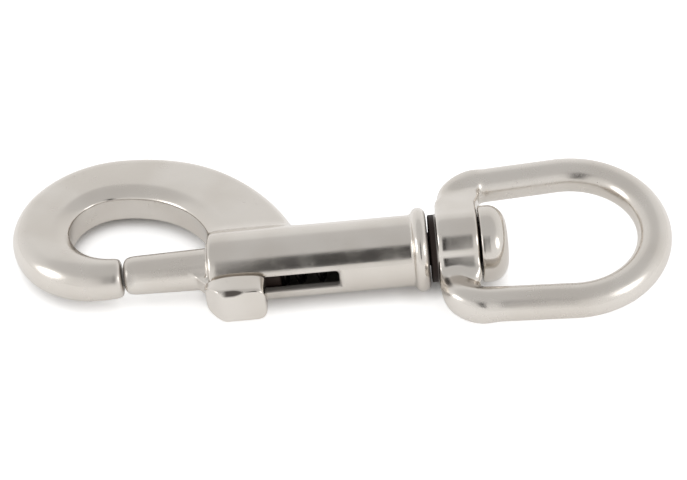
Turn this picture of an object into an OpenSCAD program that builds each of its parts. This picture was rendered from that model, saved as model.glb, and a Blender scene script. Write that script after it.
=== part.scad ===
// Swivel snap hook: a cast hook with a hollow barrel, a sprung bolt with a
// thumb knob, and a D-shaped eye that turns on a riveted pin.
//
// Each piece is drawn about the barrel's axis: X runs along the barrel from its
// mouth to the eye, Y points from the barrel to the crook, and Z is square to
// the hook's plane. lie() then sets the whole down as it rests on a table.

/* [Barrel] */
// Outer diameter of the barrel
barrel_d = 10.8; // [10:0.1:12]
// Length of the barrel, from its mouth to the face behind the eye
barrel_l = 33.8; // [31:0.1:42]
// Wall of the barrel round the bore
barrel_wall = 1.3; // [1:0.05:1.7]
// Thickness of the barrel's closed end, which holds the rivet's tail
end_wall = 6.3; // [5:0.1:7]
// Rounding of the barrel's mouth
mouth_round = 0.6; // [0.3:0.05:0.9]
// Outer diameter of the flange at the barrel's end
flange_d = 12.8; // [12:0.1:14]
// Width of the flange
flange_w = 2.3; // [2:0.1:3]

/* [Slot] */
// Width of the slot that the knob's stem runs in
slot_w = 2.7; // [2.2:0.05:3]
// Length of the slot, from the barrel's mouth
slot_l = 20.2; // [18:0.1:22]
// Radius of the corners at the slot's blind end
slot_corner = 0.5; // [0.2:0.05:0.9]

/* [Crook] */
// Gap that the bolt closes, from the barrel's mouth to the crook's tip
throat_l = 12.5; // [11:0.1:14]
// Diameter of the crook's round tip
tip_d = 6.1; // [5.4:0.1:6.6]
// Chamfer round the end of the tip
tip_chamfer = 0.7; // [0.3:0.05:1]
// Length of the straight stretch behind the tip, on its outer side
tip_l = 2.4; // [1.2:0.1:3]
// How far the tip sits off the barrel's axis, away from the crook
tip_drop = 0.3; // [0:0.05:0.5]
// How far the tip leans away from the barrel's axis, in degrees
tip_lean = 3; // [0:0.5:6]
// Thickness of the crook where it is full
crook_t = 6.5; // [5.6:0.1:7.4]
// Squareness of the crook's section, where 2 is an oval
crook_square = 2.9; // [2.2:0.1:3.6]
// Inside radius of the crook, from the tip to its far left
inner_low_r = 7.4; // [6.8:0.1:8]
// Inside radius of the crook, from its far left to its top
inner_high_r = 7; // [6.4:0.1:7.6]
// Outside radius of the crook, from the tip to its far left
outer_low_r = 15; // [14.2:0.1:16.4]
// Outside radius of the crook, from its far left to its top
outer_high_r = 16.5; // [15.2:0.1:17.6]
// Outside radius of the crook's crown
crown_r = 26.2; // [22:0.1:30]
// Heading at which the crown passes into the web, in degrees below the axis
crown_turn = 40; // [34:1:46]
// Length along the barrel of the web that joins the crook to it
web_l = 13.6; // [11.6:0.1:15]

/* [Bolt] */
// Diameter of the bolt's nose at its tip
nose_tip_d = 5.8; // [5.2:0.05:6.1]
// Diameter of the bolt's nose at the barrel's mouth
nose_d = 6.3; // [6.15:0.05:7]
// Rounding of the bolt's tip
nose_round = 0.8; // [0.4:0.05:1.2]
// Gap between the closed bolt and the crook's tip
tip_gap = 0.15; // [0.1:0.05:0.4]
// Length of the wide part of the bolt that the bore guides
guide_l = 11; // [9.6:0.1:12]
// Diameter of the spigot that centres the spring on the bolt
spigot_d = 4.2; // [3.6:0.1:4.6]
// Length of the spigot
spigot_l = 1.6; // [1:0.1:2.4]

/* [Knob] */
// Length of the thumb knob along the barrel
knob_l = 9.1; // [8:0.1:10]
// Height of the thumb knob across the slot
knob_h = 6.1; // [5:0.1:7]
// How far the knob's thumb face stands from the barrel's surface
knob_out = 4.4; // [3.6:0.1:5.4]
// Gap between the knob's underside and the barrel
knob_lift = 0.35; // [0.25:0.05:0.6]
// Length of the slanted face at the knob's front
knob_slant = 2.6; // [1.8:0.1:3.2]
// Radius of the knob's corners
knob_corner = 1.8; // [1:0.1:2.2]
// Chamfer along the knob's upper and lower edges
knob_chamfer = 0.7; // [0.4:0.05:1.2]
// Distance from the barrel's mouth to the knob's front end
knob_start = 0.2; // [0:0.05:0.6]
// Length of the fin that runs from the knob's stem onto the nose
fin_l = 2; // [1.2:0.1:2.6]

/* [Spring] */
// Wire of the compression spring
spring_wire_d = 0.6; // [0.45:0.05:0.75]
// Outer diameter of the spring
spring_d = 7; // [6.4:0.1:7.4]
// Number of coils
spring_coils = 6.5; // [5:0.5:7]

/* [Swivel pin] */
// Diameter of the pin's shank, which the eye turns on
shank_d = 5; // [4.6:0.1:5.4]
// Diameter of the tail that is pressed into the barrel's end
tail_d = 4.4; // [3.8:0.05:4.5]
// Length of tail that stands into the bore
tail_proud = 0.9; // [0.6:0.1:1.4]
// Diameter of the pin's head
head_d = 11.6; // [10:0.1:12.4]
// Height of the pin's domed head
head_h = 4.1; // [3.4:0.1:4.8]
// Height of the straight rim under the dome
head_rim = 1.3; // [0.8:0.1:1.8]

/* [Eye] */
// Inside width of the D-shaped eye
eye_inside_w = 20.2; // [18:0.1:23]
// Inside length of the eye, from its boss to its round end
eye_inside_l = 24.1; // [22:0.1:28]
// Diameter of the eye's round bar
eye_bar_d = 5.2; // [4.4:0.1:5.8]
// How much each side of the eye closes in towards the boss, in degrees
eye_taper = 3.5; // [0:0.5:6]
// Radius of the eye's corners, on the middle of the bar
eye_corner_r = 4.8; // [4:0.1:5.6]
// Length of the boss and yoke along the pin
boss_l = 6.7; // [6:0.1:7.6]
// Diameter of the boss round the pin
boss_d = 11; // [10:0.1:12]
// Rounding of the boss's edges
boss_round = 0.7; // [0.3:0.05:1]
// How far the eye is turned about the barrel's axis, as the hook lies
eye_turn = 10; // [0:1:18]

/* [Fits] */
// Running clearance between a moving round piece and its hole, all round
run_fit = 0.08; // [0.05:0.01:0.1]
// Clearance each side of the knob's stem in the slot
stem_fit = 0.12; // [0.08:0.01:0.2]
// Interference of the pin's tail in the barrel's end, all round
press_fit = 0.01; // [0.005:0.005:0.02]
// Gap between the flange and the eye's boss
flange_gap = 0.9; // [0.5:0.05:1.2]
// Gap between the boss and the pin's head
head_gap = 0.25; // [0.15:0.05:0.4]

/* [Hidden] */
$fn = 64;

nickel = [0.80, 0.78, 0.75];
nickel_eye = [0.76, 0.74, 0.71];
nickel_bolt = [0.84, 0.82, 0.79];
steel = [0.60, 0.60, 0.62];

// Barrel and bore
barrel_r = barrel_d / 2;
bore_r = barrel_r - barrel_wall;
bore_end = barrel_l - end_wall;
flange_x = barrel_l - flange_w / 2;
slot_deep = bore_r / 2;
flange_edge = 0.2;

// Bolt, stem and knob
guide_r = bore_r - run_fit;
guide_x = 0.4;
guide_edge = 0.3;
guide_end = guide_x + guide_l;
nose_x = tip_gap - throat_l;
stem_t = slot_w - 2 * stem_fit;
knob_in = barrel_r + knob_lift;
knob_face = barrel_r + knob_out;
knob_end = knob_start + knob_l;
stem_inset = 0.6;
stem_end = knob_end - stem_inset;

// Pin and eye, from the flange outward
boss_x = barrel_l + flange_gap;
boss_end = boss_x + boss_l;
head_x = boss_end + head_gap;
boss_bore_r = shank_d / 2 + run_fit;
eye_bar_r = eye_bar_d / 2;
bar_step = 0.02;
bar_overlap = 0.2;
eye_r = eye_inside_w / 2 + eye_bar_r;
eye_tip_x = boss_end + eye_inside_l + eye_bar_d;
eye_round_x = eye_tip_x - eye_bar_r - eye_r;
eye_front_x = boss_x + eye_bar_r;
eye_corner_x = eye_front_x + eye_corner_r;
eye_out = [sin(-eye_taper), cos(-eye_taper)];
eye_round_end = [eye_round_x, 0] + eye_r * eye_out;
eye_corner_y = eye_round_end.y + (eye_corner_x - eye_round_end.x) * tan(eye_taper)
    - eye_corner_r / cos(eye_taper);
eye_corner_end = [eye_corner_x, eye_corner_y] + eye_corner_r * eye_out;

// Plan of the crook. Both outlines are runs of arcs that turn clockwise from
// the tip; a heading is the direction of travel, and 0 is along +X.
tip_heading = 180 + tip_lean;
tip_at = [-throat_l, -tip_drop];
tip_run = [cos(tip_heading), sin(tip_heading)];
land_y = 0.92 * barrel_r;

function right_of(heading) = [sin(heading), -cos(heading)];
function arc_point(from, heading, radius, to) =
    from + radius * (right_of(heading) - right_of(to));
// Radius of the arc that leaves a point at a heading and lands on another point
function landing_r(from, heading, at) =
    ((at - from) * (at - from)) / (2 * ((at - from) * right_of(heading)));
// Heading at which that arc lands
function landing_heading(from, heading, at) =
    2 * atan2(at.y - from.y, at.x - from.x) - heading;

inner_tip = tip_at + tip_chamfer * tip_run + tip_d / 2 * right_of(tip_heading);
inner_left = arc_point(inner_tip, tip_heading, inner_low_r, 90);
inner_top = arc_point(inner_left, 90, inner_high_r, 0);
inner_foot = [0, land_y];
inner_foot_r = landing_r(inner_top, 0, inner_foot);
inner_foot_h = landing_heading(inner_top, 0, inner_foot);

outer_tip = tip_at + tip_l * tip_run - tip_d / 2 * right_of(tip_heading);
outer_left = arc_point(outer_tip, tip_heading, outer_low_r, 90);
outer_top = arc_point(outer_left, 90, outer_high_r, 0);
outer_crown = arc_point(outer_top, 0, crown_r, -crown_turn);
outer_foot = [web_l, land_y];
outer_foot_r = landing_r(outer_crown, -crown_turn, outer_foot);
outer_foot_h = landing_heading(outer_crown, -crown_turn, outer_foot);

function inner_at(h) =
    h > 90 ? arc_point(inner_tip, tip_heading, inner_low_r, h) :
    h > 0 ? arc_point(inner_left, 90, inner_high_r, h) :
    arc_point(inner_top, 0, inner_foot_r, h);
function outer_at(h) =
    h > 90 ? arc_point(outer_tip, tip_heading, outer_low_r, h) :
    h > 0 ? arc_point(outer_left, 90, outer_high_r, h) :
    h > -crown_turn ? arc_point(outer_top, 0, crown_r, h) :
    arc_point(outer_crown, -crown_turn, outer_foot_r, h);

// Sections of the crook, each [inner point, outer point, thickness, squareness]
bend_steps = 30;
web_steps = 18;
ring_steps = 28;
function ease(t) = t * t * (3 - 2 * t);
function swell(t) = ease(min(1, t / 0.5));
function bend_section(t) =
    let (h = tip_heading * (1 - t))
    [inner_at(h), outer_at(h),
     tip_d + (crook_t - tip_d) * swell(t), 2 + (crook_square - 2) * swell(t)];
function web_section(t) =
    [inner_at(inner_foot_h * t), outer_at(outer_foot_h * t), crook_t, crook_square];
function tip_section(along, r) =
    let (middle = tip_at + along * tip_run,
         half = r * right_of(tip_heading))
    [middle + half, middle - half, 2 * r, 2];
root_section = [[0.4, barrel_r / 5], [web_l, barrel_r / 5], crook_t, crook_square];
crook_sections = concat(
    [tip_section(0, tip_d / 2 - tip_chamfer)],
    [for (i = [0:bend_steps]) bend_section(i / bend_steps)],
    [for (i = [1:web_steps]) web_section(i / web_steps)],
    [root_section]);

// How the hook lies: on the barrel's mouth, the flange's rim and the underside
// of the crook, which it meets a little inside the crook's outer edge
touch_heading = 117;
touch = [cos(touch_heading), sin(touch_heading)];
touch_inset = 0.6 * crook_t;
crook_reach = (outer_left + [outer_high_r, 0]) * touch + outer_high_r - touch_inset;
lie_pitch = asin((flange_d - barrel_d) / 2 / (flange_x - mouth_round));
lie_lift = barrel_r - mouth_round * sin(lie_pitch);
lie_slope = (lie_lift - crook_t / 2) / crook_reach;
lie_roll = asin(sqrt(max(0, pow(lie_slope, 2) - pow(sin(lie_pitch), 2))));
box_middle = [(outer_left.x + eye_tip_x) / 2,
              (outer_top.y - eye_r * cos(eye_turn - lie_roll) - eye_bar_r) / 2];

module lie() {
    translate([-box_middle.x, -box_middle.y, lie_lift])
        rotate([-lie_roll, -lie_pitch, 0])
            children();
}

// Solid of revolution about the barrel's axis; the outline is [radius, x]
module turned() {
    rotate([0, 90, 0]) rotate_extrude() children();
}

module hole(r, x0, x1) {
    translate([x0, 0, 0]) rotate([0, 90, 0]) cylinder(r = r, h = x1 - x0);
}

// Outline of a turned bar from x0 to x1 with both outer edges rounded
module rounded_bar(r, x0, x1, edge0, edge1) {
    union() {
        translate([0, x0 + edge0]) square([r, x1 - x0 - edge0 - edge1]);
        translate([0, x0]) square([r - edge0, edge0 + 0.01]);
        translate([r - edge0, x0 + edge0]) circle(r = edge0);
        translate([0, x1 - edge1 - 0.01]) square([r - edge1, edge1 + 0.01]);
        translate([r - edge1, x1 - edge1]) circle(r = edge1);
    }
}

// ---------------------------------------------------------------- hook body

function ring_points(section) =
    let (inner = section[0], outer = section[1], power = 2 / section[3])
    [for (i = [0:ring_steps - 1])
        let (a = 360 * i / ring_steps,
             across = sign(cos(a)) * pow(abs(cos(a)), power),
             up = sign(sin(a)) * pow(abs(sin(a)), power),
             plan = (inner + outer) / 2 + (inner - outer) / 2 * across)
        [plan.x, plan.y, up * section[2] / 2]];

// Skin over a row of closed rings that all have the same number of points
module loft(sections) {
    count = len(sections);
    points = [for (s = sections) each ring_points(s)];
    sides = [for (k = [0:count - 2], i = [0:ring_steps - 1])
        let (j = (i + 1) % ring_steps,
             a = k * ring_steps + i, b = k * ring_steps + j,
             c = a + ring_steps, d = b + ring_steps)
        each [[a, b, c], [b, d, c]]];
    first = [[for (i = [ring_steps - 1:-1:0]) i]];
    last = [[for (i = [0:ring_steps - 1]) (count - 1) * ring_steps + i]];
    polyhedron(points = points, faces = concat(sides, first, last), convexity = 6);
}

module barrel() {
    turned() union() {
        rounded_bar(barrel_r, 0, barrel_l, mouth_round, flange_edge);
        translate([0, barrel_l - flange_w]) square([(flange_d - flange_w) / 2, flange_w]);
        translate([(flange_d - flange_w) / 2, flange_x]) circle(d = flange_w);
    }
}

module slot() {
    wide = slot_w - 2 * slot_corner;
    translate([-1, -barrel_r - 1, -slot_w / 2])
        cube([slot_l - slot_corner + 1, barrel_r + 1 - slot_deep, slot_w]);
    translate([0, -barrel_r - 1, -wide / 2])
        cube([slot_l, barrel_r + 1 - slot_deep, wide]);
    for (side = [-1, 1])
        translate([slot_l - slot_corner, -slot_deep, side * wide / 2])
            rotate([90, 0, 0]) cylinder(r = slot_corner, h = barrel_r + 1 - slot_deep);
}

module hook_body() {
    color(nickel) lie() difference() {
        union() {
            barrel();
            loft(crook_sections);
        }
        hole(bore_r, -1, bore_end);
        hole(tail_d / 2 - press_fit, bore_end - 1, barrel_l + 1);
        slot();
    }
}

// --------------------------------------------------------------------- bolt

module bolt_core() {
    turned() union() {
        polygon([
            [0, nose_x],
            [nose_tip_d / 2 - nose_round, nose_x],
            for (a = [15:15:75])
                [nose_tip_d / 2 - nose_round * (1 - sin(a)), nose_x + nose_round * (1 - cos(a))],
            [nose_tip_d / 2, nose_x + nose_round],
            [nose_d / 2, guide_x + 0.01],
            [0, guide_x + 0.01]
        ]);
        rounded_bar(guide_r, guide_x, guide_end, guide_edge, guide_edge);
        rounded_bar(spigot_d / 2, guide_end - 1, guide_end + spigot_l, 0.2, 0.4);
    }
}

// Stem of the knob, with the fin that runs down onto the nose
module stem() {
    translate([0, 0, -stem_t / 2]) linear_extrude(stem_t)
        polygon([
            [knob_start - fin_l, -nose_d / 2 + stem_inset],
            [knob_start + knob_lift, -barrel_r],
            [knob_start + stem_inset, -knob_in - stem_inset],
            [stem_end, -knob_in - stem_inset],
            [stem_end, -slot_deep],
            [knob_start - fin_l, -slot_deep]
        ]);
}

// The knob is the solid common to its outlines from the side, above and ahead
module knob() {
    front_h = 0.35 * (knob_face - knob_in);
    intersection() {
        rotate([90, 0, 0]) linear_extrude(knob_face) union() {
            translate([knob_start + knob_corner, -knob_h / 2])
                square([knob_l - 2 * knob_corner, knob_h]);
            translate([knob_start, -knob_h / 2 + knob_corner])
                square([knob_l, knob_h - 2 * knob_corner]);
            for (x = [knob_start + knob_corner, knob_end - knob_corner], side = [-1, 1])
                translate([x, side * (knob_h / 2 - knob_corner)]) circle(r = knob_corner);
        }
        translate([0, 0, -knob_h / 2]) linear_extrude(knob_h) polygon([
            [knob_start, -knob_in],
            [knob_start, -knob_in - front_h],
            [knob_start + knob_slant, -knob_face],
            [knob_end - knob_chamfer, -knob_face],
            [knob_end, -knob_face + knob_chamfer],
            [knob_end, -knob_in]
        ]);
        rotate([90, 0, 90]) linear_extrude(knob_end) polygon([
            [-knob_in, knob_h / 2 - knob_chamfer],
            [-knob_in - knob_chamfer, knob_h / 2],
            [-knob_face + knob_chamfer, knob_h / 2],
            [-knob_face, knob_h / 2 - knob_chamfer],
            [-knob_face, -knob_h / 2 + knob_chamfer],
            [-knob_face + knob_chamfer, -knob_h / 2],
            [-knob_in - knob_chamfer, -knob_h / 2],
            [-knob_in, -knob_h / 2 + knob_chamfer]
        ]);
    }
}

module bolt() {
    color(nickel_bolt) lie() union() {
        bolt_core();
        stem();
        knob();
    }
}

// ------------------------------------------------------------------- spring

module spring() {
    turn_steps = 18;
    wire_sides = 8;
    wire_r = spring_wire_d / 2;
    coil_r = spring_d / 2 - wire_r;
    x0 = guide_end + wire_r;
    run = bore_end - wire_r - x0;
    steps = ceil(spring_coils * turn_steps);
    points = [for (k = [0:steps], i = [0:wire_sides - 1])
        let (turn = spring_coils * 360 * k / steps,
             a = 360 * i / wire_sides,
             r = coil_r + wire_r * cos(a))
        [x0 + run * k / steps + wire_r * sin(a), r * cos(turn), r * sin(turn)]];
    sides = [for (k = [0:steps - 1], i = [0:wire_sides - 1])
        let (j = (i + 1) % wire_sides,
             a = k * wire_sides + i, b = k * wire_sides + j,
             c = a + wire_sides, d = b + wire_sides)
        each [[a, c, b], [b, c, d]]];
    first = [[for (i = [0:wire_sides - 1]) i]];
    last = [[for (i = [wire_sides - 1:-1:0]) steps * wire_sides + i]];
    color(steel) lie()
        polyhedron(points = points, faces = concat(sides, first, last), convexity = 10);
}

// --------------------------------------------------------------- swivel pin

module swivel_pin() {
    dome_h = head_h - head_rim;
    flat_r = 0.45 * head_d / 2;
    rim_edge = 0.3;
    color(nickel_bolt) lie() turned() union() {
        rounded_bar(tail_d / 2, bore_end - tail_proud, barrel_l + 0.5, 0.4, 0.1);
        translate([0, barrel_l]) square([shank_d / 2, head_x - barrel_l + 0.1]);
        polygon([
            [0, head_x],
            [head_d / 2 - rim_edge, head_x],
            [head_d / 2, head_x + rim_edge],
            for (a = [0:10:80])
                [flat_r + (head_d / 2 - flat_r) * cos(a), head_x + head_rim + dome_h * sin(a)],
            [flat_r, head_x + head_h],
            [0, head_x + head_h]
        ]);
    }
}

// --------------------------------------------------------------- swivel eye

// A straight bar that runs into the bends at both its ends
module eye_bar(from, to) {
    translate([from.x, from.y, 0])
        rotate([0, 90, atan2(to.y - from.y, to.x - from.x)])
            translate([0, 0, -bar_overlap])
                cylinder(r = eye_bar_r - bar_step, h = norm(to - from) + 2 * bar_overlap);
}

module eye_arc(centre, radius, start, sweep) {
    translate([centre.x, centre.y, 0]) rotate([0, 0, start])
        rotate_extrude(angle = sweep) translate([radius, 0]) circle(r = eye_bar_r);
}

// One side of the eye: a straight side and the corner that turns into the yoke
module eye_side() {
    eye_bar(eye_corner_end, eye_round_end);
    eye_arc([eye_corner_x, eye_corner_y], eye_corner_r, 90 + eye_taper, 90 - eye_taper);
}

// Yoke: a flat-sided bar across the eye, as long along the pin as the boss
module yoke() {
    back_x = boss_end - eye_bar_r;
    back_y = eye_corner_y + eye_corner_r / 4;
    eye_bar([eye_front_x, -eye_corner_y], [eye_front_x, eye_corner_y]);
    eye_bar([back_x, -back_y], [back_x, back_y]);
    for (side = [-1, 1])
        translate([back_x, side * back_y, 0]) sphere(r = eye_bar_r);
    translate([eye_front_x, -eye_corner_y, -eye_bar_r])
        cube([back_x - eye_front_x, 2 * eye_corner_y, eye_bar_d]);
}

module swivel_eye() {
    color(nickel_eye) lie() rotate([eye_turn, 0, 0]) difference() {
        union() {
            eye_arc([eye_round_x, 0], eye_r, -90 - eye_taper, 180 + 2 * eye_taper);
            eye_side();
            mirror([0, 1, 0]) eye_side();
            yoke();
            turned() rounded_bar(boss_d / 2, boss_x, boss_end, boss_round, boss_round);
        }
        hole(boss_bore_r, boss_x - 1, boss_end + 1);
    }
}

hook_body();
bolt();
spring();
swivel_pin();
swivel_eye();
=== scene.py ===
"""Swivel snap hook: nickel-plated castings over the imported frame, and the table they lie on."""

import math
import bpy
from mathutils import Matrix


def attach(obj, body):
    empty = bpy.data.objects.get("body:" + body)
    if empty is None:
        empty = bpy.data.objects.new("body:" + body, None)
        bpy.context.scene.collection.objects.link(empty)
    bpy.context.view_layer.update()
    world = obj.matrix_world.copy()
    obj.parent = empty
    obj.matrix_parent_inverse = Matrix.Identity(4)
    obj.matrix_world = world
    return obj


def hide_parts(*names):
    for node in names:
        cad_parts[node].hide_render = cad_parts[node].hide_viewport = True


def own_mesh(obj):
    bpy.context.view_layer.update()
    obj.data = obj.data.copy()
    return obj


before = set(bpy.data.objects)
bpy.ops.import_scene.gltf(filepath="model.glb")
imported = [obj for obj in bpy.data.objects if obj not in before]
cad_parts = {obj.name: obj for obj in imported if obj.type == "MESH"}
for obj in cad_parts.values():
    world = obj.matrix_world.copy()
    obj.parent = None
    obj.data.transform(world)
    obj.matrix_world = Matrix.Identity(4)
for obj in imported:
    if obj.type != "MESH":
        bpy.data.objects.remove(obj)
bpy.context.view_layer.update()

from types import SimpleNamespace

import bpy
import numpy as np
from bpy.props import FloatProperty, FloatVectorProperty, PointerProperty
from mathutils import Euler, Matrix, Vector

bl_info = {
    "name": "Swivel Snap Hook",
    "version": (1, 0, 0),
    "blender": (4, 5, 0),
    "location": "View3D > Sidebar > Snap Hook",
    "description": "Builds a nickel-plated snap hook with a sprung bolt and a swivel eye",
    "category": "Object",
}

MM = 0.001

# How the hook lies: turned about the barrel's axis, then tipped up towards the eye
LIE_ROLL = math.radians(-3.780)
LIE_PITCH = math.radians(-1.788)
LIE_AT = Vector((-20.0889, -6.39139, 5.38128))
EYE_TURN = math.radians(10)


def lie_matrix(turn=0.0):
    """From a piece's own axes in millimetres, X along the barrel, to the row frame in metres."""
    place = Matrix.Translation(LIE_AT) @ Matrix.Rotation(LIE_PITCH, 4, "Y")
    return Matrix.Scale(MM, 4) @ place @ Matrix.Rotation(LIE_ROLL + turn, 4, "X")


# ------------------------------------------------------------ sizes and finish


def length(name, millimetres, description):
    """A size a user can change, kept in metres."""
    return FloatProperty(
        name=name,
        description=description,
        default=millimetres * MM,
        min=0.0,
        precision=5,
        unit="LENGTH",
    )


def share(name, value, description, top=1.0):
    """A plain number from nothing to its top."""
    return FloatProperty(name=name, description=description, default=value, min=0.0, max=top)


def tone(name, value, description):
    """A colour."""
    return FloatVectorProperty(
        name=name, description=description, default=value, min=0.0, max=1.0, subtype="COLOR"
    )


class BodySizes(bpy.types.PropertyGroup):
    """Sizes of the body casting: barrel, flange, slot and crook."""

    barrel_d: length("Barrel diameter", 10.8, "Across the barrel")
    barrel_l: length("Barrel length", 33.8, "From the mouth to the flange's back")
    barrel_wall: length("Barrel wall", 1.3, "Thickness of the wall round the bore")
    bore_end: length("Bore depth", 27.5, "From the mouth to the bore's closed end")
    mouth_x: length("Mouth set-back", 0.7, "How far the mouth's face lies behind the knob's front")
    mouth_round: length("Mouth rounding", 0.85, "Rounding of the mouth's outer edge")
    flange_d: length("Flange diameter", 12.74, "Across the bead at the barrel's back end")
    flange_w: length("Flange width", 2.3, "Width of the bead")
    slot_w: length("Slot width", 2.7, "Width of the slot for the knob's stem")
    slot_l: length("Slot length", 20.2, "From the mouth to the slot's end")
    slot_corner: length("Slot corner", 0.5, "Corner radius at the slot's end")
    slot_edge: length("Slot edge", 0.3, "Rounding of the slot's edges")
    throat: length("Throat", 12.5, "Gap between the mouth and the crook's tip")
    tip_d: length("Tip diameter", 6.1, "Across the crook's tip")
    tip_chamfer: length("Tip chamfer", 0.7, "Chamfer round the tip's end")
    tip_l: length("Tip straight", 2.4, "Straight run of the tip's outer side")
    tip_drop: length("Tip drop", 0.3, "How far the tip lies off the barrel's axis")
    crook_t: length("Crook thickness", 6.44, "Thickness of the crook")
    inner_low_r: length("Inner bend by the tip", 7.4, "Radius of the inner outline's first bend")
    inner_high_r: length("Inner bend at the top", 7.0, "Radius of the inner outline's second bend")
    outer_low_r: length("Outer bend by the tip", 15.0, "Radius of the outer outline's first bend")
    outer_high_r: length("Outer bend at the top", 16.5, "Radius of the outer outline's second bend")
    crown_r: length("Crown radius", 26.2, "Radius of the outer outline over the crown")
    web_l: length("Web length", 13.6, "How far along the barrel the web lands")
    land_y: length("Web landing", 4.968, "Height over the axis at which the web lands")
    web_fillet: length("Web fillet", 2.6, "Fillet between the web and the barrel")


class BoltSizes(bpy.types.PropertyGroup):
    """Sizes of the sliding bolt and its thumb knob."""

    nose_tip_d: length("Nose tip diameter", 5.8, "Across the nose at its tip")
    nose_d: length("Nose diameter", 6.3, "Across the nose at the guide")
    nose_round: length("Nose rounding", 1.35, "Rounding of the nose's tip")
    tip_gap: length("Tip gap", 0.15, "Gap between the nose and the crook's tip")
    run_fit: length("Running fit", 0.08, "Gap round the guide and the pin")
    stem_fit: length("Stem fit", 0.12, "Gap each side of the stem in the slot")
    guide_end: length("Guide end", 11.4, "From the mouth to the guide's back")
    spigot_d: length("Spigot diameter", 4.2, "Across the spigot that holds the spring")
    spigot_l: length("Spigot length", 1.6, "Length of the spigot")
    knob_l: length("Knob length", 9.1, "Length of the knob along the barrel")
    knob_h: length("Knob height", 6.1, "Height of the knob across the slot")
    knob_out: length("Knob reach", 4.4, "How far the knob's face stands off the barrel")
    knob_lift: length("Knob clearance", 0.35, "Gap between the knob and the barrel")
    knob_slant: length("Knob slant", 2.6, "Length of the slanted front facet")
    knob_corner: length("Knob corner", 1.8, "Corner radius of the knob's outline")
    knob_edge: length("Knob edge", 0.55, "Rounding round the knob's face")
    knob_start: length("Knob start", 0.2, "From the mouth to the knob")
    fin_l: length("Fin length", 2.0, "How far the stem runs out in front of the knob")


class EyeSizes(bpy.types.PropertyGroup):
    """Sizes of the swivel pin and the eye that turns on it."""

    shank_d: length("Shank diameter", 5.0, "Across the pin's shank")
    tail_d: length("Tail diameter", 4.4, "Across the tail pressed into the barrel")
    tail_proud: length("Tail end", 0.9, "How far the tail stands into the bore")
    head_d: length("Head diameter", 11.6, "Across the pin's head")
    head_h: length("Head height", 4.1, "Height of the pin's head")
    head_rim: length("Head rim", 1.3, "Straight rim under the head's dome")
    head_gap: length("Head gap", 0.25, "Gap between the boss and the head")
    boss_x: length("Boss start", 34.7, "From the mouth to the boss")
    boss_end: length("Boss end", 41.4, "From the mouth to the boss's back")
    boss_round: length("Boss rounding", 0.7, "Rounding of the boss's edges")
    eye_inside_w: length("Eye width inside", 20.2, "Widest part of the opening")
    eye_inside_l: length("Eye length inside", 24.04, "From the boss to the far end of the opening")
    eye_bar_d: length("Eye bar", 5.2, "Thickness of the eye's bar")
    eye_corner_r: length("Eye corner", 4.8, "Radius of the eye's two corners")


class SpringSizes(bpy.types.PropertyGroup):
    """Sizes of the spring behind the bolt."""

    wire_d: length("Wire diameter", 0.6, "Across the spring's wire")
    coil_d: length("Spring diameter", 7.0, "Across the outside of the coils")
    spring_end: length("End coil pitch", 0.64, "Pitch of the closed coil at each end")
    travel: length("Bolt travel", 11.0, "How far the bolt slides back")


class NickelFinish(bpy.types.PropertyGroup):
    """Colour and polish of the nickel plate, the colour of its painted shade, and the spring's wire."""

    color: tone("Nickel", (0.690, 0.652, 0.606), "Colour of the plate")
    color_deep: tone("Deep nickel", (0.640, 0.598, 0.548), "Colour where the plate is hazed")
    # Near-black colour of the painted shade in the bore and the slot, in the gap between flange and
    # boss, and along the knob's ridge
    painted_shade_color: tone("Painted shade", (0.026, 0.017, 0.014), "Colour of dirt painted in hollows and gaps")
    # Dark oiled wire, darkened further as painted shade for the spring inside the bore
    wire_color: tone("Wire", (0.045, 0.040, 0.036), "Colour of the spring's wire")
    roughness: share("Roughness", 0.17, "Roughness of the polish")
    satin: share("Satin", 0.12, "Roughness added on the crook and the ring")
    haze: share("Haze", 0.08, "Roughness that hazed patches add")
    wave: share("Waviness", 0.045, "Height of the casting's slow waves, in millimetres")
    lines: share("Polish marks", 0.0035, "Height of the fine polishing marks, in millimetres")


class StageSettings(bpy.types.PropertyGroup):
    """Light and colour of the table and the room."""

    floor: tone("Floor", (0.96, 0.96, 0.96), "Colour of the table")
    card: tone("Card", (0.035, 0.033, 0.032), "Colour of the dark card behind the camera")
    sky: share("Sky", 0.86, "Light of the room", 4.0)
    lamp: share("Lamps", 2.2, "Brightness of the soft lamps, where white paper is 1", 10.0)


class SnapHookSettings(bpy.types.PropertyGroup):
    """Everything that the panel shows."""

    body: PointerProperty(type=BodySizes, name="Body", description="Sizes of the body")
    bolt: PointerProperty(type=BoltSizes, name="Bolt", description="Sizes of the bolt")
    eye: PointerProperty(type=EyeSizes, name="Pin and eye", description="Sizes of pin and eye")
    spring: PointerProperty(type=SpringSizes, name="Spring", description="Sizes of the spring")
    finish: PointerProperty(type=NickelFinish, name="Finish", description="Plate and wire")
    stage: PointerProperty(type=StageSettings, name="Stage", description="Table and light")


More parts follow.
